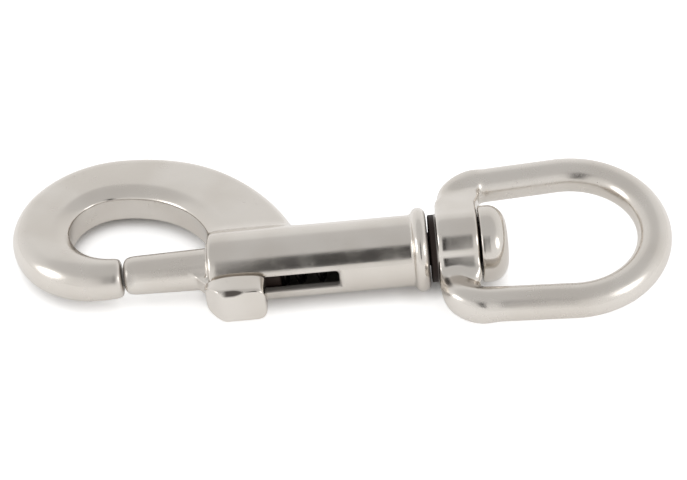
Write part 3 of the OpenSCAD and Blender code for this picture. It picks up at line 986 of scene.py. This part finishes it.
def paper(name, p):
    """The white table. It takes the hook's shadow, and darkens close under it."""
    material = bpy.data.materials.new(name)
    tree = Tree(material)
    seen, mirrored = ray_kinds(tree)
    shows = (seen + mirrored * MIRROR_GLOW).math("MINIMUM", 1.0)
    near = {"Distance": SHADE_REACH}
    # The glow fades close under the hook, as a painted contact shadow on the table
    open_air = tree.add("ShaderNodeAmbientOcclusion", {"samples": SHADE_SAMPLES}, near, "AO")
    glow = tree.mix(shows * open_air.over(0.1, 0.9), BLACK, WHITE)
    look = {"Base Color": rgba(p.floor), "Roughness": 1.0, "Specular IOR Level": 0.0}
    look.update({"Emission Color": glow, "Emission Strength": FLOOR_GLOW})
    tree.finish("ShaderNodeBsdfPrincipled", look)
    return material


def card_black(name, p):
    """Matt dark card that fades out towards its top and its sides, on the left along a slant."""
    material = bpy.data.materials.new(name)
    tree = Tree(material)
    where = tree.add("ShaderNodeTexCoord", {}, (), "Generated")
    height = tree.add("ShaderNodeSeparateXYZ", {}, {"Vector": where}, "Y")
    side = tree.add("ShaderNodeSeparateXYZ", {}, {"Vector": where}, "X")
    card = tree.add("ShaderNodeBsdfDiffuse", {}, {"Color": rgba(p.card)})
    clear = tree.add("ShaderNodeBsdfTransparent")
    left = 1.0 - (side - height * CARD_SLANT).over(CARD_SIDE_START, CARD_SIDE_FADE)
    right = side.over(1.0 - CARD_SIDE_FADE, 1.0)
    thin = height.over(CARD_FADE, 1.0).math("MAXIMUM", right).math("MAXIMUM", left)
    tree.finish("ShaderNodeMixShader", (thin, card, clear))
    return material


def room(world, p):
    """A white room: white where it is seen, a little greyer overhead and in front in the metal."""
    tree = Tree(world)
    seen, mirrored = ray_kinds(tree)
    way = tree.add("ShaderNodeTexCoord", {}, (), "Generated")
    z = tree.add("ShaderNodeSeparateXYZ", {}, {"Vector": way}, "Z")
    walls = tree.add("ShaderNodeValToRGB", {"stops": ROOM_STOPS}, {"Fac": z})
    light = tree.mix(mirrored.math("MINIMUM", 1.0), grey(p.sky), walls)
    light = tree.mix(seen, light, WHITE)
    tree.finish("ShaderNodeBackground", {"Color": light, "Strength": 1.0}, "World")


# --------------------------------------------------------------------- stage

FLOOR_GLOW, MIRROR_GLOW = 0.48, 0.35
SHADE_REACH, SHADE_SAMPLES = 0.003, 8
TABLE_W = 6.0
# The card stands in front of the hook, between two angles of height
CARD_W, CARD_SIDE, CARD_REACH = 0.093, -0.0135, 0.31
CARD_LOW, CARD_HIGH = math.radians(17), math.radians(66)
CARD_FADE, CARD_SLANT, CARD_SIDE_START, CARD_SIDE_FADE = 0.72, 0.22, -0.05, 0.08
# How light the room is in the metal, from the horizon to straight overhead
ROOM_LEVELS = ((0.0, 1.0), (0.30, 0.97), (0.66, 0.87), (0.76, 0.71), (1.0, 0.67))
ROOM_STOPS = [(at, grey(level)) for at, level in ROOM_LEVELS]
CAMERA_AT = Vector((0.002607, -0.218562, 0.199094))
CAMERA_TURN = Euler([math.radians(a) for a in (48.12496, 3.08687, -2.35033)])
CAMERA_LENS, SENSOR_W = 99.56, 36.0
NEAREST, FARTHEST = 0.01, 50.0


def plane(name, width, depth, matrix, material):
    """A flat sheet of the stage."""
    mesh = bpy.data.meshes.new(name)
    corners = [(-width / 2, -depth / 2, 0), (width / 2, -depth / 2, 0)]
    corners += [(width / 2, depth / 2, 0), (-width / 2, depth / 2, 0)]
    mesh.from_pydata(corners, [], [(0, 1, 2, 3)])
    mesh.materials.append(material)
    obj = placed(name, mesh, matrix)
    return obj


def axes(right, up, back, at):
    """A placing whose X, Y and Z run along these."""
    matrix = Matrix((right, up, back)).transposed().to_4x4()
    matrix.translation = at
    return matrix


def aimed(at, target=Vector((0.0, 0.0, 0.005))):
    """A placing whose back faces away from the target."""
    back = (at - target).normalized()
    right = Vector((0.0, 0.0, 1.0)).cross(back).normalized()
    return axes(right, back.cross(right), back, at)


# Each lamp's name, compass angle from the front, height angle, distance and diameter
LAMPS = (
    ("lamp_left", -76, 22, 0.80, 0.40),
    ("lamp_right", 60, 25, 0.80, 0.34),
)


class SNAPHOOK_OT_stage(bpy.types.Operator):
    """Lay the table, light it and set up the camera"""

    bl_idname = "snaphook.stage"
    bl_label = "Stage"

    def execute(self, context):
        scene = context.scene
        p = scene.snap_hook.stage
        scene.view_settings.view_transform = "Standard"
        scene.world = bpy.data.worlds.new("white_room")
        room(scene.world, p)
        plane("table_top", TABLE_W, TABLE_W, Matrix(), paper("table_white", p))
        foot, head = (
            Vector((0.0, -math.cos(a), math.sin(a))) * CARD_REACH for a in (CARD_LOW, CARD_HIGH)
        )
        up = (head - foot).normalized()
        right = Vector((1.0, 0.0, 0.0))
        place = axes(right, up, right.cross(up), (head + foot) / 2 + CARD_SIDE * right)
        card = plane("dark_card", CARD_W, (head - foot).length, place, card_black("card_black", p))
        card.visible_camera = False
        card.visible_shadow = False
        card.visible_diffuse = False
        for name, around, above, distance, size in LAMPS:
            a, e = math.radians(around), math.radians(above)
            at = Vector((math.sin(a) * math.cos(e), -math.cos(a) * math.cos(e), math.sin(e)))
            lamp = bpy.data.lights.new(name, "AREA")
            lamp.shape, lamp.size = "DISK", size
            # The power at which the disk is this bright
            lamp.energy = p.lamp * (math.pi * size / 2) ** 2
            placed(name, lamp, aimed(at * distance))
        data = bpy.data.cameras.new("camera")
        data.lens, data.sensor_width = CAMERA_LENS, SENSOR_W
        data.clip_start, data.clip_end = NEAREST, FARTHEST
        place = Matrix.Translation(CAMERA_AT) @ CAMERA_TURN.to_matrix().to_4x4()
        scene.camera = placed("camera", data, place)
        return {"FINISHED"}


# -------------------------------------------------------------------- pieces


def fit_piece(obj, node, body, material):
    """Puts a piece in a node's place, in its finish, on the body that carries it."""
    obj.data.materials.append(material)
    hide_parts(node)
    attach(obj, body)


# Where each patch, of painted shade and of satin, is whole and where it ends, in millimetres from the
# place that its function names
SHADE_AND_WEAR = SimpleNamespace(
    slot_side=(0.1, 0.3),
    slot_floor=(-4.2, -3.8),
    slot_end=(0.2, 0.5),
    slot_low=(-0.4, 0.4),
    bore_wall=(-0.1, 0.2),
    bore_mouth=(-1.2, -0.2),
    back_rim=(5.3, 6.2),
    back_face=(0.1, 0.5),
    crook=(-4.0, -0.5),
    crook_tip=(3.0, 7.0),
    ridge_line=(0.1, 0.2),
    ridge_start=(2.6, 3.5),
    ridge_end=(6.2, 7.6),
    guide_wall=(0.1, 0.7),
    guide_front=(-1.4, -0.6),
    stem_back=(0.0, 1.6),
    stem_out=(5.4, 5.8),
    nose_end=(0.05, 0.45),
    nose_spot=(0.4, 1.9),
    nose=(-2.0, 0.5),
    shank=(3.6, 4.6),
    under_head=(0.2, 0.5),
    hub=(0.1, 0.4),
    boss_front=(0.2, 0.6),
    eye_bore=(2.7, 3.3),
    boss_back=(0.0, 0.5),
    before_arms=(7.5, 10.0),
    before_ring=(42.0, 45.0),
)
# How strong some of it is, from 0 to 1: painted shade in the slot, on the knob's ridge and on the nose,
# then satin
SLOT_SHADE, SLOT_LOW_SHADE, RIDGE_SHADE, NOSE_SHADE_AND_SPOT = 0.3, 0.25, 0.9, 0.3
CROOK_SATIN, NOSE_SATIN, ARM_SATIN, RING_SATIN = 0.28, 0.3, 0.6, 0.3
TIP_AT = (-14.0, -1.0)
NOSE_SPOT_AT = (-12.0, 1.4)


def body_shade_and_wear(s):
    """Painted shade in the bore, in the slot and behind the flange; satin on the crook."""
    bore_r = s.barrel_d / 2 - s.barrel_wall

    def shade_and_wear(x, y, z):
        rho = np.hypot(y, z)
        # Painted shade on the slot's walls, more on the lower one, in the bore and on the flange's back
        # face that faces the boss
        wall = fade(np.abs(z) - s.slot_w / 2, *SHADE_AND_WEAR.slot_side) * fade(y, *SHADE_AND_WEAR.slot_floor)
        wall = wall * fade(x - s.slot_l, *SHADE_AND_WEAR.slot_end)
        bore = fade(rho - bore_r, *SHADE_AND_WEAR.bore_wall) * fade(s.mouth_x - x, *SHADE_AND_WEAR.bore_mouth)
        back = fade(rho, *SHADE_AND_WEAR.back_rim) * fade(s.barrel_l - x, *SHADE_AND_WEAR.back_face)
        tip = fade(np.hypot(x - TIP_AT[0], y - TIP_AT[1]), *SHADE_AND_WEAR.crook_tip)
        satin = np.maximum(CROOK_SATIN * fade(x, *SHADE_AND_WEAR.crook), tip)
        slot_shade = (SLOT_SHADE + SLOT_LOW_SHADE * fade(z, *SHADE_AND_WEAR.slot_low)) * wall
        return np.maximum(np.maximum(bore, back), slot_shade), np.maximum(satin, wall)

    return shade_and_wear


def bolt_shade_and_wear(s):
    """Painted shade on the guide and the stem, on the nose's end and in the knob's chamfer; a darker
    spot on the nose.
    """
    guide_r = s.barrel_d / 2 - s.barrel_wall
    knob_end = s.knob_start + s.knob_l
    nose_x = s.tip_gap - s.throat

    def shade_and_wear(x, y, z):
        along = x - s.knob_start
        # Painted shade along the middle of the knob's ridge
        ridge_shade = fade(np.abs(ridge_depth(s, x, y, z)), *SHADE_AND_WEAR.ridge_line)
        ridge_shade = RIDGE_SHADE * ridge_shade * fade(along, *SHADE_AND_WEAR.ridge_end)
        ridge_shade = ridge_shade * (1.0 - fade(along, *SHADE_AND_WEAR.ridge_start))
        # Painted shade on the guide and the stem, inside the barrel and the slot
        guide = fade(np.hypot(y, z) - guide_r, *SHADE_AND_WEAR.guide_wall) * fade(-x, *SHADE_AND_WEAR.guide_front)
        stem = fade(knob_end - x, *SHADE_AND_WEAR.stem_back) * fade(-y, *SHADE_AND_WEAR.stem_out)
        # A darker spot on the nose, and painted shade on the nose's end where it meets the crook's tip
        spot = fade(np.hypot(x - NOSE_SPOT_AT[0], z - NOSE_SPOT_AT[1]), *SHADE_AND_WEAR.nose_spot)
        tip = NOSE_SHADE_AND_SPOT * (fade(x - nose_x, *SHADE_AND_WEAR.nose_end) + spot)
        shade = np.maximum(np.maximum(guide, stem), np.maximum(tip, ridge_shade))
        return shade, NOSE_SATIN * fade(x, *SHADE_AND_WEAR.nose)

    return shade_and_wear


def pin_shade(s):
    """Painted shade on the shank, up to the head's underside."""

    def shade_and_wear(x, y, z):
        shank = fade(np.hypot(y, z), *SHADE_AND_WEAR.shank) * fade(x - s.boss_end, *SHADE_AND_WEAR.under_head)
        return shank, 0.0 * x

    return shade_and_wear


def eye_shade_and_wear(s):
    """Painted shade on the hub and in the bore; satin on the arms and the ring."""

    def shade_and_wear(x, y, z):
        rho = np.hypot(y, z)
        front = fade(rho - s.hub_d / 2, *SHADE_AND_WEAR.hub) * fade(x - s.boss_x, *SHADE_AND_WEAR.boss_front)
        bore = fade(rho, *SHADE_AND_WEAR.eye_bore) * fade(x - s.boss_end, *SHADE_AND_WEAR.boss_back)
        arms = ARM_SATIN * (1.0 - fade(np.abs(y), *SHADE_AND_WEAR.before_arms))
        ring = RING_SATIN * (1.0 - fade(x, *SHADE_AND_WEAR.before_ring))
        return np.maximum(front, bore), np.maximum(ring, arms)

    return shade_and_wear


# How fine each mesh is, in millimetres
BODY_STEP, BOLT_STEP, PIN_STEP, EYE_STEP = 0.3, 0.16, 0.17, 0.2
# How far the marks of each plate are shifted from the body's, in metres
BOLT_SHIFT, PIN_SHIFT, EYE_SHIFT = 0.31, 0.53, 0.77


class SNAPHOOK_OT_body(bpy.types.Operator):
    """Cast the body: crook, web, barrel and flange"""

    bl_idname = "snaphook.body"
    bl_label = "Body"

    def execute(self, context):
        s = sizes(context.scene)
        low, high = (-31.4, -7.0, -7.0), (34.6, 28.8, 7.0)
        obj = cast_piece("body_casting", body_field(s), low, high, BODY_STEP, body_shade_and_wear(s))
        material = nickel("nickel_body_plate", context.scene.snap_hook.finish, 0.0)
        fit_piece(obj, "hook_body", "hook", material)
        return {"FINISHED"}


class SNAPHOOK_OT_bolt(bpy.types.Operator):
    """Cast the bolt with its thumb knob"""

    bl_idname = "snaphook.bolt"
    bl_label = "Bolt"

    def execute(self, context):
        s = sizes(context.scene)
        low, high = (-13.0, -10.4, -4.6), (13.6, 4.6, 4.6)
        obj = cast_piece("bolt_casting", bolt_field(s), low, high, BOLT_STEP, bolt_shade_and_wear(s))
        material = nickel("nickel_bolt_plate", context.scene.snap_hook.finish, BOLT_SHIFT)
        fit_piece(obj, "bolt", "bolt", material)
        return {"FINISHED"}


class SNAPHOOK_OT_pin(bpy.types.Operator):
    """Turn the swivel pin with its domed head"""

    bl_idname = "snaphook.pin"
    bl_label = "Swivel pin"

    def execute(self, context):
        s = sizes(context.scene)
        low, high = (26.0, -6.4, -6.4), (46.4, 6.4, 6.4)
        obj = cast_piece("pin_rivet", pin_field(s), low, high, PIN_STEP, pin_shade(s))
        material = nickel("nickel_pin_plate", context.scene.snap_hook.finish, PIN_SHIFT)
        fit_piece(obj, "swivel_pin", "hook", material)
        return {"FINISHED"}


class SNAPHOOK_OT_eye(bpy.types.Operator):
    """Cast the swivel eye with its boss"""

    bl_idname = "snaphook.eye"
    bl_label = "Swivel eye"

    def execute(self, context):
        s = sizes(context.scene)
        low, high = (33.6, -16.8, -6.2), (71.8, 16.8, 6.2)
        field, shade_and_wear = eye_field(s), eye_shade_and_wear(s)
        obj = cast_piece("eye_casting", field, low, high, EYE_STEP, shade_and_wear, EYE_TURN)
        material = nickel("nickel_eye_plate", context.scene.snap_hook.finish, EYE_SHIFT)
        fit_piece(obj, "swivel_eye", "eye", material)
        return {"FINISHED"}


COILS, COIL_STEPS, WIRE_SIDES = 6.5, 48, 12


def coil_piece(name, s):
    """The spring: a round wire wound with a closed coil at each end."""
    wire_r = s.wire_d / 2
    coil_r = s.coil_d / 2 - wire_r
    start, run = s.guide_end + wire_r, s.bore_end - s.guide_end - 2 * wire_r
    turns = np.linspace(0.0, COILS, int(COILS * COIL_STEPS) + 1)
    closed = np.minimum(turns, 1.0) + np.maximum(turns - COILS + 1.0, 0.0)
    free = (run - 2.0 * s.spring_end) / (COILS - 2.0)
    along = start + closed * s.spring_end + (turns - closed) * free
    a = 2.0 * np.pi * turns[:, None]
    b = 2.0 * np.pi * np.arange(WIRE_SIDES)[None, :] / WIRE_SIDES
    r = coil_r + wire_r * np.cos(b)
    points = np.stack([along[:, None] + wire_r * np.sin(b) + 0 * a, r * np.cos(a), r * np.sin(a)], -1)
    place = np.array(lie_matrix())
    points = points.reshape(-1, 3) @ place[:3, :3].T + place[:3, 3]
    faces = []
    for k in range(len(turns) - 1):
        for i in range(WIRE_SIDES):
            j = (i + 1) % WIRE_SIDES
            low, high = k * WIRE_SIDES, (k + 1) * WIRE_SIDES
            faces.append((low + i, high + i, high + j, low + j))
    last = (len(turns) - 1) * WIRE_SIDES
    faces.append(tuple(range(WIRE_SIDES)))
    faces.append(tuple(last + i for i in reversed(range(WIRE_SIDES))))
    mesh = bpy.data.meshes.new(name)
    mesh.from_pydata(points.tolist(), [], faces)
    mesh.polygons.foreach_set("use_smooth", [True] * (len(faces) - 2) + [False] * 2)
    mesh.update()
    return placed(name, mesh)


class SNAPHOOK_OT_spring(bpy.types.Operator):
    """Wind the spring that pushes the bolt shut"""

    bl_idname = "snaphook.spring"
    bl_label = "Spring"

    def execute(self, context):
        s = sizes(context.scene)
        obj = coil_piece("spring_coil", s)
        material = spring_steel("oiled_wire", context.scene.snap_hook.finish)
        fit_piece(obj, "spring", "hook", material)
        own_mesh(obj)
        return {"FINISHED"}


OPERATORS = (
    SNAPHOOK_OT_stage,
    SNAPHOOK_OT_body,
    SNAPHOOK_OT_bolt,
    SNAPHOOK_OT_spring,
    SNAPHOOK_OT_pin,
    SNAPHOOK_OT_eye,
)


class SNAPHOOK_PT_build(bpy.types.Panel):
    """Builds the snap hook, piece by piece"""

    bl_label = "Snap Hook"
    bl_idname = "SNAPHOOK_PT_build"
    bl_space_type = "VIEW_3D"
    bl_region_type = "UI"
    bl_category = "Snap Hook"

    def draw(self, context):
        for operator in OPERATORS:
            self.layout.operator(operator.bl_idname)
        settings = context.scene.snap_hook
        for group in ("body", "bolt", "eye", "spring", "finish", "stage"):
            box = self.layout.box()
            box.label(text=settings.bl_rna.properties[group].name)
            part = getattr(settings, group)
            for key in setting_names(part):
                box.prop(part, key)


GROUPS = (BodySizes, BoltSizes, EyeSizes, SpringSizes, NickelFinish, StageSettings, SnapHookSettings)
CLASSES = GROUPS + OPERATORS + (SNAPHOOK_PT_build,)


def register():
    for cls in CLASSES:
        bpy.utils.register_class(cls)
    bpy.types.Scene.snap_hook = PointerProperty(type=SnapHookSettings)


def unregister():
    del bpy.types.Scene.snap_hook
    for cls in reversed(CLASSES):
        bpy.utils.unregister_class(cls)


def main():
    """Makes every piece."""
    register()
    for operator in OPERATORS:
        group, _, name = operator.bl_idname.partition(".")
        getattr(getattr(bpy.ops, group), name)()


if __name__ == "__main__":
    main()
